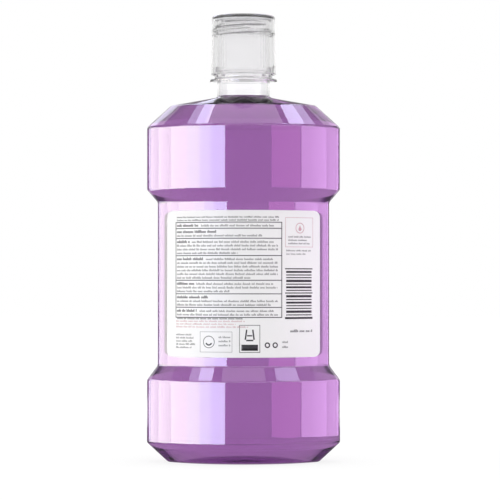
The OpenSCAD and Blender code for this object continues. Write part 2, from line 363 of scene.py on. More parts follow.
@dataclass(frozen=True)
class Foam:
    """A pressed foam disc, matt and slightly pitted, with painted shade in its pits."""

    name: str
    light: Colour = (0.9, 0.9, 0.9)
    shade: Colour = (0.8, 0.8, 0.81)
    roughness: float = 0.75
    specular: float = 0.3
    cells: float = 1400
    pit_mm: float = 0.05

    def material(self) -> Material:
        """Builds the material."""
        g = new_graph(self.name)
        shader = g.surface({"Roughness": self.roughness, "Specular IOR Level": self.specular})
        cells = g.add("ShaderNodeTexVoronoi", {"Scale": self.cells})
        g.join(g.place(), cells.inputs["Vector"])
        depth = cells.outputs["Distance"]
        # Painted shade: the colour darkens towards the pits' bottoms, following the same depth as the relief.
        g.join(g.mixed(g.ranged(depth, (0, 1)), self.shade, self.light), shader.inputs["Base Color"])
        g.join(g.relief(depth, self.pit_mm), shader.inputs["Normal"])
        return g.owner


# Meshes


@dataclass(frozen=True)
class Arc:
    """A part of a loop: an arc round a centre, in degrees, cut into steps."""

    centre: Pair
    radius: float
    start: float
    sweep: float
    steps: int


def add_part(bm: Mesh, part: Mesh) -> Loop:
    """Adds a small mesh to a larger one.

    Args:
        bm: The larger mesh.
        part: The small mesh, which is freed.

    Returns:
        The edges that it brought.
    """
    known = set(bm.edges)
    carrier = bpy.data.meshes.new("carrier")
    part.to_mesh(carrier)
    part.free()
    bm.from_mesh(carrier)
    bpy.data.meshes.remove(carrier)
    return [e for e in bm.edges if e not in known]


def arc_loop(bm: Mesh, arcs: list[Arc], z: float) -> Loop:
    """Draws a closed loop of arcs at one height.

    Args:
        bm: The mesh to draw in.
        arcs: The arcs, end to end.
        z: The height.

    Returns:
        The loop's edges.
    """
    sketch = bmesh.new()
    turn = Matrix.Rotation(math.radians(arcs[0].start), 4, "Z")
    start = Vector((*arcs[0].centre, z)) + turn @ Vector((arcs[0].radius, 0, 0))
    first = last = sketch.verts.new(start)
    for arc in arcs:
        out = bmesh.ops.spin(
            sketch,
            geom=[last],
            cent=(*arc.centre, z),
            axis=(0, 0, 1),
            angle=math.radians(arc.sweep),
            steps=arc.steps,
            use_duplicate=False,
        )
        last = next(g for g in out["geom_last"] if isinstance(g, Vert))
    bmesh.ops.weld_verts(sketch, targetmap={last: first})
    return add_part(bm, sketch)


def bridge(bm: Mesh, loops: list[Loop]) -> None:
    """Spans faces from each loop to the next one."""
    for low, high in zip(loops, loops[1:]):
        bmesh.ops.bridge_loops(bm, edges=low + high)


def alive(loop: Loop) -> Loop:
    """Gives the edges of a loop that later steps have left in place."""
    return [e for e in loop if e.is_valid]


def round_edges(bm: Mesh, edges: Loop, offset: float, segments: int) -> None:
    """Rounds some edges.

    Args:
        bm: The mesh.
        edges: The edges to round.
        offset: How far the rounding reaches from the edge.
        segments: Steps across the rounding.
    """
    bmesh.ops.bevel(
        bm,
        geom=edges,
        offset=offset,
        offset_type="OFFSET",
        segments=segments,
        profile=0.5,
        affect="EDGES",
        material=-1,
        clamp_overlap=False,
        loop_slide=True,
    )


def dome(bm: Mesh, loop: Loop, rise: float) -> None:
    """Closes a loop with a shallow dome round the Z axis.

    Args:
        bm: The mesh.
        loop: The loop to close.
        rise: How high the dome's middle stands above the loop.
    """
    rings, fullness, easing = 7, 2.4, 0.3
    edges, scale, height = loop, 1.0, 0.0
    for ring in range(1, rings + 1):
        out = bmesh.ops.extrude_edge_only(bm, edges=edges)["geom"]
        verts = [g for g in out if isinstance(g, Vert)]
        edges = [g for g in out if isinstance(g, Edge)]
        share = 1 - ring / (rings + 1)
        new_height = rise * (1 - share**fullness)
        bmesh.ops.scale(bm, vec=(share / scale, share / scale, 1), verts=verts)
        bmesh.ops.translate(bm, vec=(0, 0, new_height - height), verts=verts)
        bmesh.ops.smooth_vert(bm, verts=verts, factor=easing, use_axis_x=True, use_axis_y=True)
        scale, height = share, new_height
    out = bmesh.ops.extrude_edge_only(bm, edges=edges)["geom"]
    verts = [g for g in out if isinstance(g, Vert)]
    middle = Vector((0, 0, verts[0].co.z + rise - height))
    bmesh.ops.pointmerge(bm, verts=verts, merge_co=middle)


@dataclass(frozen=True)
class Thread:
    """A screw thread round the Z axis, from a start to an end angle, whose ends run out into the wall."""

    start: float
    end: float
    z: float
    height: float
    root_w: float
    crest_w: float
    pitch: float = 4.233
    run_out: float = 22

    def height_at(self, angle: float, z: float) -> float:
        """Gives how far the thread stands off its wall at a point.

        Args:
            angle: Angle round the axis in degrees.
            z: Height of the point.

        Returns:
            The thread's height there, 0 beside it.
        """
        best = 0.0
        for turn in range(-1, 4):
            way = angle + 360 * turn - self.start
            length = self.end - self.start
            if not 0 < way < length:
                continue
            off = abs(z - self.z - self.pitch * way / 360)
            flank = (self.root_w / 2 - off) / ((self.root_w - self.crest_w) / 2)
            fade = min(way, length - way) / self.run_out
            best = max(best, self.height * min(1, max(0, flank)) * min(1, fade))
        return best


def polar(v: Vert) -> tuple[float, float, float]:
    """Gives a vertex's radius, its angle in degrees and its height."""
    return math.hypot(v.co.x, v.co.y), math.degrees(math.atan2(v.co.y, v.co.x)), v.co.z


def set_radius(v: Vert, radius: float) -> None:
    """Moves a vertex along its radius."""
    old = math.hypot(v.co.x, v.co.y)
    v.co.x *= radius / old
    v.co.y *= radius / old


def turned_apart(angle: float, other: float) -> float:
    """Gives the angle between two directions, from 0 to 180 degrees."""
    return abs((angle - other + 180) % 360 - 180)


def finish_mesh(bm: Mesh, name: str, material: Material, body: Body, weighted: bool = True) -> Piece:
    """Turns a mesh in millimetres into a piece of the part in metres.

    Args:
        bm: The mesh, which is freed.
        name: The piece's name.
        material: Its material.
        body: The body that it rides on.
        weighted: True to keep large faces flat in the shading.

    Returns:
        The new object.
    """
    joined, thin, flatness = 2e-4, 1e-5, 50
    bmesh.ops.remove_doubles(bm, verts=bm.verts, dist=joined)
    bmesh.ops.dissolve_degenerate(bm, edges=bm.edges, dist=thin)
    bmesh.ops.recalc_face_normals(bm, faces=bm.faces)
    bmesh.ops.scale(bm, vec=(MM, MM, MM), verts=bm.verts)
    for face in bm.faces:
        face.smooth = True
    mesh = bpy.data.meshes.new(name)
    bm.to_mesh(mesh)
    bm.free()
    mesh.materials.append(material)
    piece = bpy.data.objects.new(name, mesh)
    bpy.context.scene.collection.objects.link(piece)
    if weighted:
        modifier = piece.modifiers.new("flat_faces", "WEIGHTED_NORMAL")
        modifier.mode = "FACE_AREA"
        modifier.weight = flatness
    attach(piece, body.value)
    return piece


# The bottle


@dataclass
class Form:
    """The blown body's shape, which the bottle, the liquid and the labels share.

    The heights are those of the body's edges, from the foot's edge to the foot of the neck. The inner
    face of the foot's land has a small step, because a bridge between two loops in one plane can twist.
    """

    width: float = 111
    depth: float = 74.6
    side_r: float = 16
    least_side_r: float = 7
    wall: float = 0.7
    edge_ease: float = 0.85
    waist_inset: float = 6.2
    rim_inset: float = 13.9
    foot_inset: float = 12.1
    land_w: float = 4.5
    land_step: float = 0.05
    push_up: float = 6
    heights: tuple[float, ...] = (11.2, 47.0, 55.4, 148.9, 156.1, 192.1, 204.6, 208.9)
    neck_r: float = 15.1
    face_steps: int = 48
    side_steps: int = 12

    @property
    def rim_z(self) -> float:
        """Height of the shoulder's rim."""
        return self.heights[-2]

    @property
    def neck_z(self) -> float:
        """Height of the foot of the neck."""
        return self.heights[-1]

    def plan(self, inset: float) -> list[Arc]:
        """Gives the plan at an inset: two big arcs, and a tight arc at each side."""
        a, b = self.width / 2 - inset, self.depth / 2 - inset
        r = max(self.side_r - inset, self.least_side_r)
        big = ((a - r) ** 2 + b * b - r * r) / (2 * (b - r))
        off = big - b
        half = math.degrees(math.atan2(a - r, off))
        return [
            Arc((0, off), big, -90 - half, 2 * half, self.face_steps),
            Arc((a - r, 0), r, half - 90, 180 - 2 * half, self.side_steps),
            Arc((0, -off), big, 90 - half, 2 * half, self.face_steps),
            Arc((r - a, 0), r, 90 + half, 180 - 2 * half, self.side_steps),
        ]

    def circle(self, radius: float) -> list[Arc]:
        """Gives a circle that is cut at the same sides as the plan of the rim."""
        side = self.plan(self.rim_inset)[1]
        turn = math.radians(side.start)
        x, y = side.centre[0] + side.radius * math.cos(turn), side.radius * math.sin(turn)
        low = math.degrees(math.atan2(y, x))
        return [
            Arc((0, 0), radius, -180 - low, 180 + 2 * low, self.face_steps),
            Arc((0, 0), radius, low, -2 * low, self.side_steps),
            Arc((0, 0), radius, -low, 180 + 2 * low, self.face_steps),
            Arc((0, 0), radius, 180 + low, -2 * low, self.side_steps),
        ]

    def corners(self, skin: float) -> list[Vector]:
        """Gives the corners of the body's side seen edge on, skin inside it.

        Args:
            skin: Distance inside the outer surface.

        Returns:
            Points of inset and height, from the foot's land to the shoulder's rim.
        """
        insets = (0, 0, self.waist_inset, self.waist_inset, 0, 0, self.rim_inset, self.width / 2 - self.neck_r)
        line = [Vector((self.foot_inset + self.land_w, 0)), Vector((self.foot_inset, 0))]
        line += [Vector(point) for point in zip(insets, self.heights)]
        moved = [line[0] + Vector((0, skin + self.land_step if skin else 0))]
        for p, q, s in zip(line, line[1:], line[2:]):
            u, v = (q - p).normalized(), (s - q).normalized()
            n1, n2 = Vector((u.y, -u.x)), Vector((v.y, -v.x))
            moved.append(q + skin * (n1 + n2) / (1 + n1.dot(n2)))
        return moved

    def body_loops(self, bm: Mesh, skin: float) -> list[Loop]:
        """Draws the loops of the body from the foot's land to the shoulder's rim."""
        return [arc_loop(bm, self.plan(p.x), p.y) for p in self.corners(skin)]

    @property
    def waist_off(self) -> float:
        """How far the centre of the waist's big back face lies behind the axis."""
        return self.plan(self.waist_inset)[0].centre[1]


@dataclass
class Bottle:
    """The blown clear bottle with its neck finish."""

    form: Form
    bore_r: float = 13.2
    lip_z: float = 253.3
    lip_ease: float = 0.4
    flare: Pair = (1.2, 0.9)
    ring_r: float = 19.3
    ring_z: Pair = (218.1, 219.6)
    ring_ease: float = 0.45
    ring_root_ease: float = 0.25
    collar: float = 0.3
    bead_r: float = 16.55
    bead_z: Pair = (220.3, 223.4)
    bead_taper: float = 1.3
    bead_ease: float = 0.4
    thread: Thread = Thread(200, 686, 245.485, 1.2, 2.2, 1.0)
    thread_below: float = 1.5
    thread_above: float = 1.0
    thread_step: float = 0.2
    lug_r: float = 16.915
    lug_top: float = 226.8
    lug_deg: float = 12
    throat_drop: float = 1.2
    throat_ease: float = 0.5
    body_steps: int = 4
    neck_steps: int = 3
    finish: ClearPlastic = ClearPlastic("clear_blown_plastic")

    def neck_stations(self) -> list[tuple[float, float, float]]:
        """Gives the neck's outer profile as radius, height and rounding."""
        n, foot, thick = self.form.neck_r, self.form.neck_z, self.form.neck_r + self.collar
        return [
            (n + self.flare[0], foot, 0),
            (n, foot + self.flare[1], 0),
            (n, self.ring_z[0], self.ring_root_ease),
            (self.ring_r, self.ring_z[0], self.ring_ease),
            (self.ring_r, self.ring_z[1], self.ring_ease),
            (thick, self.ring_z[1], 0),
            (thick, self.bead_z[0] - self.collar, 0),
            (self.bead_r, self.bead_z[0], self.bead_ease),
            (self.bead_r, self.bead_z[1] - self.bead_taper, self.bead_ease),
            (n, self.bead_z[1], 0),
            (n, self.lug_top - self.collar, 0),
            (n, self.lug_top, 0),
            *((n, z, 0) for z in self.fine_heights()),
            (n, self.lip_z, self.lip_ease),
            (self.bore_r, self.lip_z, self.lip_ease),
        ]

    def fine_heights(self) -> list[float]:
        """Gives the heights of the close rings that the thread is raised from."""
        low, high = self.thread.z - self.thread_below, self.lip_z - self.thread_above
        return [low + self.thread_step * i for i in range(round((high - low) / self.thread_step))]

    def raise_neck(self, bm: Mesh) -> None:
        """Raises the thread and the two lugs from the neck's wall.

        Args:
            bm: The mesh.
        """
        bead_foot, bead_top = self.bead_z[1] - 1.5, self.bead_z[1]
        on_wall, play = 0.02, 0.1
        for v in bm.verts:
            r, angle, z = polar(v)
            if z < bead_foot or z > bead_top and abs(r - self.form.neck_r) > on_wall:
                continue
            away = min(turned_apart(angle, 0), turned_apart(angle, 180))
            if away < self.lug_deg / 2 and z < self.lug_top - play:
                if r > self.form.neck_r - play:
                    set_radius(v, max(r, self.lug_r))
            elif z > self.lug_top:
                set_radius(v, r + self.thread.height_at(angle, z))

    def build(self) -> Piece:
        """Builds the shell with its neck, thread and lugs.

        Returns:
            The bottle's object.
        """
        f, bm = self.form, bmesh.new()
        outer = f.body_loops(bm, 0)
        neck = [(arc_loop(bm, f.circle(r), z), ease) for r, z, ease in self.neck_stations()]
        throat = arc_loop(bm, f.circle(self.bore_r), f.neck_z - self.throat_drop)
        inner = f.body_loops(bm, f.wall)[::-1]
        bridge(bm, [*outer, *(loop for loop, _ in neck), throat, *inner])
        round_edges(bm, [e for loop in outer[1:] + inner[:-1] for e in loop], f.edge_ease, self.body_steps)
        for loop, ease in [*neck, (throat, self.throat_ease)]:
            if ease:
                round_edges(bm, alive(loop), ease, self.neck_steps)
        dome(bm, alive(outer[0]), f.push_up)
        dome(bm, alive(inner[-1]), f.push_up)
        self.raise_neck(bm)
        piece = finish_mesh(bm, "bottle_shell", self.finish.material(), Body.CONTAINER)
        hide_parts("bottle")
        return piece


@dataclass
class Mouthwash:
    """The liquid, from the foot's inside to the foot of the neck, with a curl where it meets the wall."""

    form: Form
    into_wall: float = 0.3
    neck_inset: float = 1.5
    fill_z: float = 207.6
    curl: float = 0.4
    curl_steps: tuple[Pair, ...] = ((0.5, 0.25), (0.9, 0.15))
    # Half width of the front faces just under the surface that get painted shade.
    painted_shade_half: float = 22
    edge_steps: int = 4
    finish: ColouredLiquid = ColouredLiquid("purple_mouthwash")

    def build(self) -> Piece:
        """Builds the liquid with the curl of its surface at the wall, and marks the faces for its painted shade.

        Returns:
            The liquid's object.
        """
        f, bm = self.form, bmesh.new()
        skin = f.wall - self.into_wall
        loops = f.body_loops(bm, skin)
        top = arc_loop(bm, f.circle(f.neck_r - self.neck_inset), f.neck_z - skin)
        bridge(bm, [*loops, top])
        round_edges(bm, [e for loop in loops[1:] for e in loop], f.edge_ease, self.edge_steps)
        dome(bm, alive(loops[0]), f.push_up)
        cut = bmesh.ops.bisect_plane(
            bm,
            geom=[*bm.verts, *bm.edges, *bm.faces],
            plane_co=(0, 0, self.fill_z + self.curl),
            plane_no=(0, 0, 1),
            clear_outer=True,
        )
        edge = [g for g in cut["geom_cut"] if isinstance(g, Edge)]
        surface = bmesh.ops.edgeloop_fill(bm, edges=edge)["faces"]
        for width, drop in self.curl_steps:
            bmesh.ops.inset_region(bm, faces=surface, thickness=width, depth=0, use_even_offset=True)
            bmesh.ops.translate(bm, vec=(0, 0, -drop), verts=list({v for s in surface for v in s.verts}))
        # Painted shade: faces of the front just under the surface are marked for the liquid's darker tint.
        painted_shade_layer = bm.faces.layers.float.new(PAINTED_SHADE_MARK)
        for face in bm.faces:
            middle = face.calc_center_median()
            if f.rim_z < middle.z < self.fill_z and abs(middle.x) < self.painted_shade_half:
                face[painted_shade_layer] = 1.0
        piece = finish_mesh(bm, "mouthwash_fill", self.finish.material(), Body.CONTAINER)
        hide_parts("mouthwash")
        return piece


# The cap


@dataclass
class DosingCap:
    """The clear cup with fine grip ribs that screws over the whole neck."""

    top_r: float = 18.1
    open_r: float = 18.75
    open_z: float = 222.4
    top_z: float = 256.1
    roof_z: float = 254.3
    wall: float = 1.0
    top_ease: float = 1.3
    edge_ease: float = 0.3
    ease_steps: int = 5
    thread_wall_r: float = 16.65
    thread_zone_z: float = 244.9
    thread: Thread = Thread(286, 646, 244.38, 1.2, 1.6, 0.8)
    thread_cuts: int = 44
    rib_count: int = 13
    rib_step: int = 8
    rib_heights: Pair = (0.22, 0.13)
    rib_margin: float = 2.6
    rib_end: float = 0.5
    columns: int = 450
    wedges: int = 45
    lug_r: float = 17.215
    lug_z: Pair = (222.7, 226.8)
    lug_from: Pair = (-21, -9)
    finish: ClearPlastic = ClearPlastic(
        "clear_cap_plastic",
        tint=(0.995, 0.995, 0.995),
        ior=1.38,
        smoke=45,
        haze=(0.03, 0.08),
        wave_mm=0.01,
        wave_cells=45,
        stretch=WHITE,
        milk=0.03,
    )

    def outer_r(self, z: float) -> float:
        """Gives the outer wall's radius at a height."""
        return self.top_r + (self.top_z - z) * (self.open_r - self.top_r) / (self.top_z - self.open_z)

    def profile(self, bm: Mesh) -> None:
        """Draws the cap's section from the top's middle round to the roof's middle.

        Args:
            bm: The mesh to draw in.
        """
        low, high, ease = self.open_z + self.rib_margin, self.top_z - self.rib_margin, self.edge_ease
        rib_ends = (high, high - self.rib_end, low + self.rib_end, low)
        stations = [
            (0, self.top_z, 0),
            (self.top_r, self.top_z, self.top_ease),
            *((self.outer_r(z), z, 0) for z in rib_ends),
            (self.open_r, self.open_z, ease),
            (self.open_r - self.wall, self.open_z, ease),
            (self.outer_r(self.thread_zone_z) - self.wall, self.thread_zone_z, ease),
            (self.thread_wall_r, self.thread_zone_z, ease),
            (self.thread_wall_r, self.roof_z, ease),
            (0, self.roof_z, 0),
        ]
        verts = [bm.verts.new((0, -r, z)) for r, z, _ in stations]
        edges = [bm.edges.new(pair) for pair in zip(verts, verts[1:])]
        inner_wall, thread_wall = edges[7], edges[9]
        for edge in (inner_wall, thread_wall):
            bmesh.ops.subdivide_edges(bm, edges=[edge], cuts=self.thread_cuts)
        for r, z, offset in stations:
            if offset:
                bmesh.ops.bevel(
                    bm,
                    geom=[v for v in bm.verts if (v.co - Vector((0, -r, z))).length < 1e-4],
                    offset=offset,
                    segments=self.ease_steps,
                    profile=0.5,
                    affect="VERTICES",
                    material=-1,
                    clamp_overlap=False,
                )

    def rib_at(self, angle: float) -> float:
        """Gives how far the outer wall stands out at an angle, which is 0 between the ribs.

        Args:
            angle: The angle round the axis in degrees.

        Returns:
            The rib's height there.
        """
        column = 360 / self.columns
        for face in (-90, 90):
            away = round(((angle - face + 180) % 360 - 180) / column)
            rib = round(away / self.rib_step)
            off = abs(away - rib * self.rib_step)
            if abs(rib) <= self.rib_count // 2 and off < len(self.rib_heights):
                return self.rib_heights[off]
        return 0.0

    def turn(self, bm: Mesh) -> None:
        """Turns the section into the cup: first one wedge, then its copies all the way round.

        Args:
            bm: The mesh that holds the section.
        """
        wedge, rest = math.radians(360 / self.wedges), self.wedges - 1
        for angle, steps, copies in ((wedge, self.columns // self.wedges, False), (wedge * rest, rest, True)):
            bmesh.ops.spin(
                bm,
                geom=[*bm.verts, *bm.edges, *bm.faces],
                axis=(0, 0, 1),
                cent=(0, 0, 0),
                angle=angle,
                steps=steps,
                use_duplicate=copies,
            )
        bmesh.ops.remove_doubles(bm, verts=bm.verts, dist=2e-4)

    def build(self) -> Piece:
        """Builds the cap with its ribs, thread and lugs.

        Returns:
            The cap's object.
        """
        bm = bmesh.new()
        self.profile(bm)
        self.turn(bm)
        rib_play, on_wall, lug_play = 0.4, 0.02, 0.1
        low, high = self.open_z + self.rib_margin + rib_play, self.top_z - self.rib_margin - rib_play
        thread_top = self.roof_z - self.edge_ease - 0.05
        for v in bm.verts:
            r, angle, z = polar(v)
            inside = r < self.outer_r(z) - self.wall / 2
            if not inside and low < z < high:
                set_radius(v, r + self.rib_at(angle))
            elif inside and abs(r - self.thread_wall_r) < on_wall and z < thread_top:
                set_radius(v, r - self.thread.height_at(angle, z))
            elif inside and self.lug_z[0] + lug_play < z < self.lug_z[1]:
                for side in (0, 180):
                    middle = side + sum(self.lug_from) / 2
                    if turned_apart(angle, middle) < (self.lug_from[1] - self.lug_from[0]) / 2:
                        set_radius(v, self.lug_r)
        piece = finish_mesh(bm, "dosing_cap_cup", self.finish.material(), Body.CLOSURE)
        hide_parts("dosing_cap")
        return piece


# The labels


class Print:
    """One ink's marks on a label: drawn flat, along the film and up it, then wrapped round the waist."""

    LIFT = 0.03
    SINK = 0.02
    STRIDE = 1.2

    def __init__(self, name: str, ink: Satin, side: Side) -> None:
        """Starts a print with no marks.

        Args:
            name: The piece's name.
            ink: Its ink.
            side: The label that it is on.
        """
        self.name = name
        self.ink = ink
        self.side = side
        self.bm = bmesh.new()

    def bar(
        self, left: float, right: float, low: float, high: float, lean: float = 0, on: Mesh | None = None
    ) -> None:
        """Adds a filled rectangle.

        Args:
            left: Its left edge.
            right: Its right edge.
            low: Its lower edge.
            high: Its upper edge.
            lean: Angle by which it is turned about its middle, in degrees.
            on: Another mesh to draw on.
        """
        bm = on or self.bm
        steps = max(1, math.ceil((right - left) / self.STRIDE))
        verts = bmesh.ops.create_grid(bm, x_segments=steps, y_segments=1, size=0.5)["verts"]
        place = Matrix.Translation(((left + right) / 2, (low + high) / 2, 0))
        turn = Matrix.Rotation(math.radians(lean), 4, "Z")
        size = Matrix.Diagonal((right - left, high - low, 1, 1))
        bmesh.ops.transform(bm, matrix=place @ turn @ size, verts=verts)

    def frame(self, left: float, right: float, low: float, high: float, line: float) -> None:
        """Adds a rectangle's outline.

        Args:
            left: Its left edge.
            right: Its right edge.
            low: Its lower edge.
            high: Its upper edge.
            line: The outline's width.
        """
        self.bar(left, right, low, low + line)
        self.bar(left, right, high - line, high)
        self.bar(left, left + line, low + line, high - line)
        self.bar(right - line, right, low + line, high - line)

    def ring(self, x: float, y: float, inner: float, outer: float, start: float = 0, sweep: float = 360) -> None:
        """Adds a ring or a part of one.

        Args:
            x: Its middle along the film.
            y: Its middle up the film.
            inner: Inner radius.
            outer: Outer radius.
            start: Start angle in degrees.
            sweep: Angle that it spans in degrees.
        """
        turn = Matrix.Rotation(math.radians(start), 4, "Z")
        ends = [self.bm.verts.new(Vector((x, y, 0)) + turn @ Vector((r, 0, 0))) for r in (inner, outer)]
        edge = self.bm.edges.new(ends)
        bmesh.ops.spin(
            self.bm,
            geom=[*ends, edge],
            cent=(x, y, 0),
            axis=(0, 0, 1),
            angle=math.radians(sweep),
            steps=max(6, round(abs(sweep) / 12)),
            use_merge=abs(sweep) == 360,
            use_duplicate=False,
        )

    def drop(self, x: float, y: float, radius: float) -> None:
        """Adds a filled drop with its tip up.

        Args:
            x: Middle of its round part along the film.
            y: Middle of its round part up the film.
            radius: Radius of its round part.
        """
        narrowing, narrowing_power, tip, tip_power = 0.55, 1.5, 1.1, 3
        disc = bmesh.new()
        bmesh.ops.create_circle(disc, cap_ends=True, segments=36, radius=radius)
        bmesh.ops.poke(disc, faces=disc.faces[:])
        bmesh.ops.subdivide_edges(disc, edges=disc.edges[:], cuts=4, use_grid_fill=True)
        for v in disc.verts:
            share = max(0.0, v.co.y / radius)
            v.co.x *= 1 - narrowing * share**narrowing_power
            v.co.y *= 1 + tip * share**tip_power
        bmesh.ops.translate(disc, vec=(x, y, 0), verts=disc.verts[:])
        add_part(self.bm, disc)

    def words(
        self, rng: random.Random, left: float, right: float, low: float, height: float, bold: bool = False
    ) -> None:
        """Adds a row of short upright strokes, grouped as words are, that spell nothing.

        Args:
            rng: Where the strokes' lengths come from.
            left: Start of the row.
            right: End of the row.
            low: Foot of the strokes.
            height: Height of the tallest strokes.
            bold: True for wider strokes.
        """
        stroke, pitch = (0.4, 0.6) if bold else (0.25, 0.45)
        strokes, shares, gap = (4, 14), (0.66, 0.66, 0.66, 1.0), 1.3
        row = bmesh.new()
        x, left_in_word = left, rng.randint(*strokes)
        while x + stroke < right:
            if left_in_word:
                self.bar(x, x + stroke, low, low + height * rng.choice(shares), on=row)
                left_in_word -= 1
                x += pitch
            else:
                x += pitch * gap
                left_in_word = rng.randint(*strokes)
        add_part(self.bm, row)

    def build(self, radius: float, centre: float, middle_z: float) -> Piece:
        """Thickens the marks a little and wraps them round the label.

        Args:
            radius: Radius of the label's outer face.
            centre: How far that face's centre lies behind the axis.
            middle_z: Height of the label's middle.

        Returns:
            The print's object.
        """
        bm = self.bm
        bmesh.ops.remove_doubles(bm, verts=bm.verts, dist=1e-4)
        for f in bm.faces:
            if f.normal.z < 0:
                f.normal_flip()
        top = bmesh.ops.extrude_face_region(bm, geom=bm.faces[:])["geom"]
        raised = {g for g in top if isinstance(g, Vert)}
        turn = Matrix.Rotation(math.radians(self.side.value), 4, "Z")
        for v in bm.verts:
            r = radius + (self.LIFT if v in raised else -self.SINK)
            angle = v.co.x / radius
            v.co = turn @ Vector((r * math.sin(angle), centre - r * math.cos(angle), middle_z + v.co.y))
        return finish_mesh(bm, self.name, self.ink.material(), Body.CONTAINER, weighted=False)


@dataclass
class Labels:
    """The two films' look and the plain print on them, which spells nothing.

    Places on a film are given from its middle, along it to the right and up it.
    """

    form: Form
    middle_z: float = 102.15
    seed: int = 7
    film: Satin = Satin(
        "label_film_white",
        (0.94, 0.935, 0.945),
        (0.955, 0.95, 0.955),
        mottle=(90, 4),
        roughness=(0.42, 0.52),
        gloss=(400, 3),
        specular=0.2,
        grain_mm=0.006,
        grain=(3000, 2),
        grain_stretch=(1, 1, 0.6),
        swell_mm=0.01,
    )
    black: Satin = Satin("black_ink", (0.02, 0.02, 0.022), (0.05, 0.05, 0.055))
    grey: Satin = Satin("grey_ink", (0.11, 0.11, 0.115), (0.16, 0.16, 0.165))
    rose: Satin = Satin("rose_ink", (0.62, 0.36, 0.4), (0.7, 0.46, 0.5))
    purple: Satin = Satin("purple_ink", (0.17, 0.05, 0.27), (0.2, 0.07, 0.31))
    lilac: Satin = Satin("lilac_ink", (0.52, 0.36, 0.68), (0.56, 0.41, 0.71))

    def wrap(self, prints: tuple[Print, ...]) -> list[Piece]:
        """Wraps some prints round the waist.

        Args:
            prints: The prints.

        Returns:
            Their objects.
        """
        centre = self.form.waist_off
        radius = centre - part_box("back_label")[0][1] / MM
        return [p.build(radius, centre, self.middle_z) for p in prints]

    def dress_films(self) -> None:
        """Gives the two films of the frame their material."""
        material = self.film.material()
        for node in ("back_label", "front_label"):
            dress_node(node, material)

    def table(self, lines: Print, grey: Print, rng: random.Random) -> None:
        """Draws the ruled table with rows of strokes.

        Args:
            lines: The black print.
            grey: The grey print.
            rng: Where the strokes' lengths come from.
        """
        left, right, top, bottom, rule, margin = -42.3, 22.4, 35.0, -19.2, 0.45, 1.1
        head_h, row_h, head_step, row_step, under_rule, short_head = 1.55, 1.2, 2.2, 2.1, 0.35, 20
        lines.frame(left, right, bottom, top, rule)
        start, stop = left + margin, right - margin
        # Each block: the drop to the rule above it, the width of its head and those of its rows.
        blocks = (
            (0, 15, ()),
            (1.0, 26, (52,)),
            (1.0, 9, (61, 61, 38)),
            (0.9, 18, (61, 61, 61, 61, 45)),
            (0.9, 12, (61, 34)),
            (0.9, 21, (61, 57)),
            (0.9, 14, (61, 41)),
        )
        z = top - rule
        for drop, head, rows in blocks:
            if drop:
                z -= drop
                lines.bar(left + rule, right - rule, z - rule / 2, z + rule / 2)
                z -= under_rule
            z -= head_step
            end = min(stop, start + head)
            lines.words(rng, start, end, z, head_h, bold=True)
            if head < short_head:
                grey.words(rng, end + 1.5, stop - 4, z, row_h)
            for width in rows:
                z -= row_step
                grey.words(rng, start, min(stop, start + width), z, row_h)

    def back(self) -> list[Piece]:
        """Prints the back label.

        Returns:
            The prints' objects.
        """
        rng = random.Random(self.seed)
        black = Print("back_print_black", self.black, Side.BACK)
        grey = Print("back_print_grey", self.grey, Side.BACK)
        rose = Print("back_print_rose", self.rose, Side.BACK)
        for z in (37.3, 35.6):
            black.words(rng, -41.2, 20.4, z, 0.95)
        self.table(black, grey, rng)
        rose.frame(24.4, 43.6, 20.8, 37.6, 0.22)
        rose.ring(34, 31.6, 2.6, 3.0)
        rose.drop(34, 31.0, 1.1)
        for z, end in ((26.2, 42), (24.3, 39), (22.4, 41)):
            grey.words(rng, 26.2, end, z, 1.0)
        for z, end in ((18.4, 42.2), (16.5, 38)):
            grey.words(rng, 25, end, z, 0.9)
        self.bars(black, 8.8)
        grey.words(rng, 27.5, 43.4, -27.4, 1.5, bold=True)
        for z, end in ((-21.5, 1), (-23.1, -4), (-24.7, 3)):
            rose.words(rng, -41.9, end, z, 0.95)
        for z, end in ((-29.2, -31), (-31, -29.5), (-32.8, -30.5), (-34.6, -28.6), (-36.4, -31)):
            grey.words(rng, -41.9, end, z, 1.0)
        grey.frame(-25.4, -6.4, -38.6, -27.0, 0.18)
        grey.ring(-20, -32.8, 3.1, 3.5)
        black.ring(-20, -32.8, 1.3, 2.1, 200, 140)
        for z in (-30.6, -32.9, -35.2):
            grey.words(rng, -14.2, -7.4, z, 1.15)
        black.frame(-2.4, 9.4, -38.8, -23.2, 0.3)
        for lean, x in ((8, 1.4), (-8, 5.6)):
            black.bar(x - 0.4, x + 0.4, -31.5, -25.8, -lean)
        black.bar(1.5, 5.5, -32.3, -31.5)
        black.bar(2.0, 5.0, -29.6, -28.9)
        black.bar(-1.2, 8.2, -37.7, -34.3)
        for x in (13.6, 18.2):
            black.ring(x, -34.6, 0.9, 1.6)
        for z in (-33.4, -36.2):
            grey.words(rng, 22.5, 26, z, 1.2)
        return self.wrap((black, grey, rose))

    def bars(self, black: Print, top: float) -> None:
        """Draws the stack of plain bars, of which the ends and the middle one are longer.

        Args:
            black: The black print.
            top: Height of the stack's top.
        """
        z, widths, gap, count = top, (0.6, 1.1, 0.6, 0.6, 1.3), 0.9, 17
        for i in range(count):
            width = widths[i % len(widths)]
            left, right = (24.2, 43.2) if i in (0, count // 2, count - 1) else (24.9, 42.5)
            black.bar(left, right, z - width, z)
            z -= width + gap

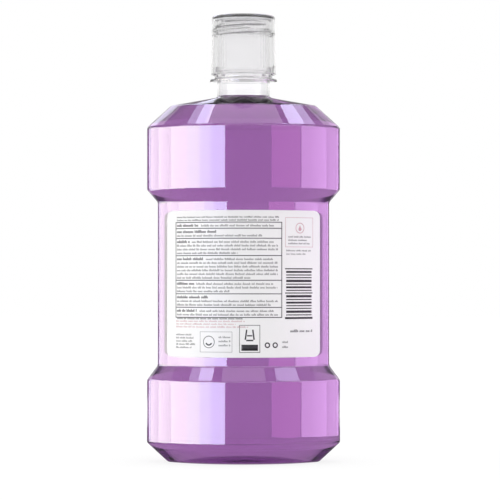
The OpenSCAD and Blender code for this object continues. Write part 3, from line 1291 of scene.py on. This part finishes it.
    def front(self) -> list[Piece]:
        """Prints the front label, which the photograph doesn't show.

        Returns:
            The prints' objects.
        """
        rng = random.Random(self.seed + 1)
        purple = Print("front_print_purple", self.purple, Side.FRONT)
        lilac = Print("front_print_lilac", self.lilac, Side.FRONT)
        half = 44
        purple.bar(-half, half, 14, 36)
        lilac.bar(-half, half, 11.2, 12.6)
        lilac.bar(-half, half, 9.4, 10.0)
        purple.drop(0, -6.5, 6.2)
        lilac.ring(0, -6.0, 10.6, 11.4)
        for side in (-1, 1):
            for step in range(3):
                lilac.ring(side * (20 + 7 * step), -6.0, 1.4 + 0.3 * step, 2.2 + 0.4 * step)
        for z, reach in ((-22.5, 26), (-25.7, 20)):
            purple.words(rng, -reach, reach, z, 2.0, bold=True)
        lilac.bar(-half, half, -30.6, -30.0)
        for z in (-32.8, -34.7, -36.6):
            purple.words(rng, -41, 41, z, 1.1)
        return self.wrap((purple, lilac))


def dress_node(node: str, material: Material) -> None:
    """Gives a node of the frame one material.

    Args:
        node: The node's name.
        material: The material.
    """
    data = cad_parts[node].data
    data.materials.clear()
    data.materials.append(material)


# The studio


@dataclass
class Studio:
    """Floor, lights, surroundings and camera."""

    camera_back: float = 1.49
    camera_height: float = 0.1029
    lens: float = 186.5
    aim_right_deg: float = 0.1437
    aim_up_deg: float = 0.7187
    floor_half: float = 6
    floor_grey: float = 0.86
    floor_glow: float = 1.05
    floor_stretch: Colour = (1, 1.2, 1)
    shadow_span: Pair = (0.06, 0.3)
    shadow_glow: Pair = (0.8, 1.0)
    # The floor glows less near the part for rays through glass: painted shade, on top of its real shadow.
    shade_through_glass_span: Pair = (0.08, 0.5)
    shade_through_glass_glow: Pair = (0.35, 0.75)
    light_level: float = 0.85
    reflected_level: float = 0.15
    ceiling: float = 1.1
    strip_colour: Colour = (0.95, 0.95, 1.3)
    card_ring: float = 0.4
    bounces: tuple[int, int, int] = (32, 16, 24)

    def build(self) -> None:
        """Builds the whole studio."""
        self.camera()
        self.floor()
        self.surroundings()
        self.strips()
        self.backdrop_cards()
        self.cards()
        scene = bpy.context.scene
        scene.view_settings.view_transform = "Standard"
        scene.cycles.max_bounces, scene.cycles.glossy_bounces, scene.cycles.transmission_bounces = self.bounces

    def camera(self) -> None:
        """Puts the camera where the photograph was taken from."""
        data = bpy.data.cameras.new("camera")
        data.sensor_width = 36
        data.lens = self.lens
        camera = bpy.data.objects.new("camera", data)
        camera.location = (0, -self.camera_back, self.camera_height)
        camera.rotation_euler = (math.radians(90 + self.aim_up_deg), 0, -math.radians(self.aim_right_deg))
        bpy.context.scene.collection.objects.link(camera)
        bpy.context.scene.camera = camera

    def floor_material(self) -> Material:
        """Makes a pale paint that keeps the part's shadow near it and glows white further off.

        Returns:
            The material.
        """
        g = new_graph("pale_floor")
        paint = g.add("ShaderNodeBsdfDiffuse", {"Color": (self.floor_grey, self.floor_grey, self.floor_grey, 1)})
        glow = g.add("ShaderNodeEmission", {"Color": (*WHITE, 1), "Strength": self.floor_glow})
        path = g.add("ShaderNodeLightPath")
        length = g.add("ShaderNodeVectorMath", operation="LENGTH")
        g.join(g.place(self.floor_stretch), length.inputs[0])
        away = length.outputs["Value"]
        near = g.ranged(away, self.shadow_glow, self.shadow_span)
        # Painted shade: through glass the floor looks darker near the part, beside its real shadow.
        shade_through_glass = g.ranged(away, self.shade_through_glass_glow, self.shade_through_glass_span)
        straight = g.combined("MULTIPLY", path.outputs["Is Camera Ray"], near)
        through = g.combined("MULTIPLY", path.outputs["Is Transmission Ray"], shade_through_glass)
        mix = g.add("ShaderNodeMixShader")
        g.join(g.combined("MAXIMUM", straight, through), mix.inputs[0])
        g.join(paint.outputs[0], mix.inputs[1])
        g.join(glow.outputs[0], mix.inputs[2])
        g.join(mix.outputs[0], g.output.inputs["Surface"])
        return g.owner

    def floor(self) -> None:
        """Lays the floor."""
        bm = bmesh.new()
        bmesh.ops.create_grid(bm, x_segments=8, y_segments=8, size=self.floor_half)
        mesh = bpy.data.meshes.new("floor")
        bm.to_mesh(mesh)
        bm.free()
        mesh.materials.append(self.floor_material())
        floor = bpy.data.objects.new("floor", mesh)
        floor.visible_glossy = False
        bpy.context.scene.collection.objects.link(floor)

    def surroundings(self) -> None:
        """Sets surroundings that are white to the camera and through glass, and dim in reflections."""
        world = bpy.data.worlds.new("surroundings")
        bpy.context.scene.world = world
        g = Graph(world, "ShaderNodeOutputWorld")
        paint = g.add("ShaderNodeBackground", {"Color": (*WHITE, 1)})
        path = g.add("ShaderNodeLightPath")
        strength = None
        # A ray through glass counts as glossy too, so the later names overrule the first.
        levels = {"Is Glossy Ray": self.reflected_level, "Is Camera Ray": 1.0, "Is Transmission Ray": 1.0}
        for name, level in levels.items():
            mix = g.add("ShaderNodeMix", data_type="FLOAT")
            mix.inputs["A"].default_value = self.light_level
            mix.inputs["B"].default_value = level
            g.join(path.outputs[name], mix.inputs["Factor"])
            if strength is not None:
                g.join(strength, mix.inputs["A"])
            strength = mix.outputs["Result"]
        g.join(strength, paint.inputs["Strength"])
        g.join(paint.outputs[0], g.output.inputs["Surface"])

    def panel(
        self,
        name: str,
        middle: Colour,
        size: Pair,
        radiance: float,
        colour: Colour = WHITE,
        aim: Colour = (0, 0, 0.12),
        reflected_only: bool = True,
    ) -> None:
        """Hangs a softbox.

        Args:
            name: The lamp's name.
            middle: Its middle.
            size: Width and height.
            radiance: Brightness of its front.
            colour: Its colour.
            aim: The point that it faces.
            reflected_only: True for a card that shows only in reflections.
        """
        data = bpy.data.lights.new(name, "AREA")
        data.shape = "RECTANGLE"
        data.size, data.size_y = size
        data.energy = radiance * math.pi * size[0] * size[1]
        data.color = colour
        lamp = bpy.data.objects.new(name, data)
        lamp.location = middle
        way = Vector(aim) - Vector(middle)
        lamp.rotation_euler = way.to_track_quat("-Z", "Y").to_euler()
        lamp.visible_camera = False
        lamp.visible_transmission = False
        if reflected_only:
            lamp.visible_diffuse = False
        bpy.context.scene.collection.objects.link(lamp)

    def strips(self) -> None:
        """Hangs the top softbox and the strips whose streaks lie on the slopes."""
        self.panel("top_softbox", (0, -0.1, self.ceiling), (0.62, 1.0), 1.3, reflected_only=False)
        for name, left, right, front, rear, radiance in (
            ("left_strip", -0.37, -0.27, -0.2, 0.8, 6.0),
            ("left_strip_edge", -0.44, -0.37, -0.2, 0.8, 2.2),
            ("right_strip", 0.349, 0.477, -0.2, 0.8, 5.3),
            ("right_strip_edge", 0.477, 0.561, -0.2, 0.8, 2.2),
            ("left_flare_strip", -0.66, -0.45, -0.3, 0.0, 7.0),
            ("left_flare_strip_edge", -0.8, -0.66, -0.3, 0.05, 2.5),
            ("right_flare_strip", 0.48, 0.82, -0.3, 0.0, 3.5),
        ):
            x, y, size = (left + right) / 2, (front + rear) / 2, (right - left, rear - front)
            self.panel(name, (x, y, self.ceiling), size, radiance, self.strip_colour, (x, y, 0))

    def backdrop_cards(self) -> None:
        """Stands the white cards behind the part, which brighten its grazing edges."""
        distance, low, high, side = 1.4, 0.175, 1.09, 0.825
        self.panel("backdrop_card", (0, distance, low), (0.9, 0.45), 1.0, aim=(0, 0, low))
        for x, name in ((-side, "left_backdrop_card"), (side, "right_backdrop_card")):
            self.panel(name, (x, distance, high), (0.95, 1.5), 1.0, aim=(x, 0, high))
        self.panel("floor_card", (0, 0.5, 0.002), (1.2, 0.4), 0.6, aim=(0, 0.5, 1))

    def cards(self) -> None:
        """Stands the ring of cards round the part, each from one azimuth to another."""
        low, short, high, upper = (-0.06, 0.228), (-0.006, 0.228), (0.24, 0.36), (0.37, 0.52)
        cool, warm, rosy = (0.98, 0.97, 1.2), (1.03, 1.0, 0.95), (1.0, 0.56, 1.13)
        for name, start, end, reach, radiance, colour in (
            ("left_near_card", -19, -34, low, 8.5, (0.99, 1.01, 1.46)),
            ("left_inner_card", -34, -46, low, 10.2, (0.98, 1.02, 1.25)),
            ("left_card", -46, -60, low, 12.2, (0.99, 1.02, 1.0)),
            ("left_outer_card", -60, -80, low, 12.2, warm),
            ("left_middle_card", -80, -98, low, 9.5, warm),
            ("left_side_card", -98, -112, low, 7.0, (1.03, 1.0, 0.97)),
            ("left_far_card", -112, -128, low, 4.2, (1.0, 1.0, 1.1)),
            ("right_near_card", 29, 61, short, 2.1, (1.0, 0.27, 0.95)),
            ("right_card", 62, 76, short, 4.9, rosy),
            ("right_outer_card", 76, 95, short, 5.3, rosy),
            ("right_side_card", 95, 110, short, 3.5, rosy),
            ("right_far_card", 110, 131, short, 2.9, rosy),
            ("cap_left_card", -35, -75, high, 3.0, WHITE),
            ("cap_right_card", 50, 80, high, 3.0, WHITE),
            ("cap_front_card", -35, 8, high, 2.3, WHITE),
            ("cap_near_card", 8, 50, high, 2.3, WHITE),
            ("cap_left_far_card", -75, -127, high, 0.35, WHITE),
            ("cap_left_rear_card", -127, -180, high, 0.1, WHITE),
            ("cap_right_far_card", 80, 130, high, 0.35, WHITE),
            ("cap_right_rear_card", 130, 180, high, 0.1, WHITE),
            ("left_rear_card", -140, -175, upper, 2.3, cool),
            ("right_rear_card", 140, 175, upper, 0.8, rosy),
        ):
            a, b = self.around(start), self.around(end)
            middle, along, z = (a + b) / 2, b - a, sum(reach) / 2
            size = (along.length, reach[1] - reach[0])
            self.panel(name, (*middle, z), size, radiance, colour, (0, 0, z))

    def around(self, azimuth_deg: float) -> Vector:
        """Gives a point of the plan on the ring of cards, at an angle from the camera's side."""
        turn = math.radians(azimuth_deg)
        return self.card_ring * Vector((math.sin(turn), -math.cos(turn)))


def main() -> None:
    """Builds every piece."""
    logging.basicConfig(level=logging.INFO, format="%(message)s")
    form = Form()
    labels = Labels(form)
    pieces = [Bottle(form).build(), Mouthwash(form).build(), DosingCap().build(), *labels.back(), *labels.front()]
    for piece in pieces:
        LOG.info("%s: %d faces", piece.name, len(piece.data.polygons))
    labels.dress_films()
    dress_node("cap_liner", Foam("liner_foam").material())
    LOG.info("back_label, front_label, cap_liner: dressed")
    Studio().build()


if __name__ == "__main__":
    main()
